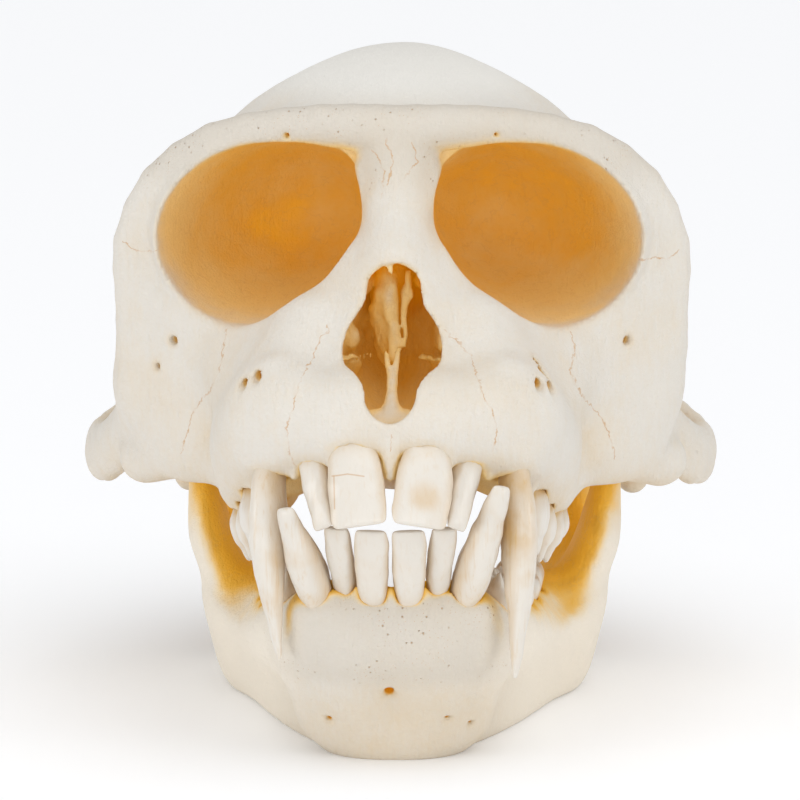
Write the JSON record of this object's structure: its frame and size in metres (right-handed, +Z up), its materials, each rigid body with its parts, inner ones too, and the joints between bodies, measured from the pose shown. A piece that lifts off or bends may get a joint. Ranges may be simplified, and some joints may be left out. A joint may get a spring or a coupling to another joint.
{
  "type": "mona monkey skull",
  "caption": "Dry skull of an adult mona monkey, lower jaw in place, with long canines, round orbits and wide cheek arches, standing on its jaw.",
  "frame": {"origin": "on the floor under the middle of the skull's bounding box", "axes": "+Z up, -Y the way the face looks, +X to the right of someone facing the skull"},
  "size_m": [0.0725, 0.1044, 0.0717],
  "materials": {
    "bone": "dry cleaned bone, matt to satin, cream, ochre in the hollows",
    "tooth": "enamel, satin, off-white"
  },
  "bodies": {
    "root": {"cranium": "bone", "mandible": "bone", "upper_incisor_central_left": "tooth", "upper_incisor_central_right": "tooth", "upper_incisor_lateral_left": "tooth", "upper_incisor_lateral_right": "tooth", "upper_canine_left": "tooth", "upper_canine_right": "tooth", "upper_premolar_first_left": "tooth", "upper_premolar_first_right": "tooth", "upper_premolar_second_left": "tooth", "upper_premolar_second_right": "tooth", "upper_molar_first_left": "tooth", "upper_molar_first_right": "tooth", "upper_molar_second_left": "tooth", "upper_molar_second_right": "tooth", "upper_molar_third_left": "tooth", "upper_molar_third_right": "tooth", "lower_incisor_central_left": "tooth", "lower_incisor_central_right": "tooth", "lower_incisor_lateral_left": "tooth", "lower_incisor_lateral_right": "tooth", "lower_canine_left": "tooth", "lower_canine_right": "tooth", "lower_premolar_first_left": "tooth", "lower_premolar_first_right": "tooth", "lower_premolar_second_left": "tooth", "lower_premolar_second_right": "tooth", "lower_molar_first_left": "tooth", "lower_molar_first_right": "tooth", "lower_molar_second_left": "tooth", "lower_molar_second_right": "tooth", "lower_molar_third_left": "tooth", "lower_molar_third_right": "tooth"}
  },
  "joints": []
}
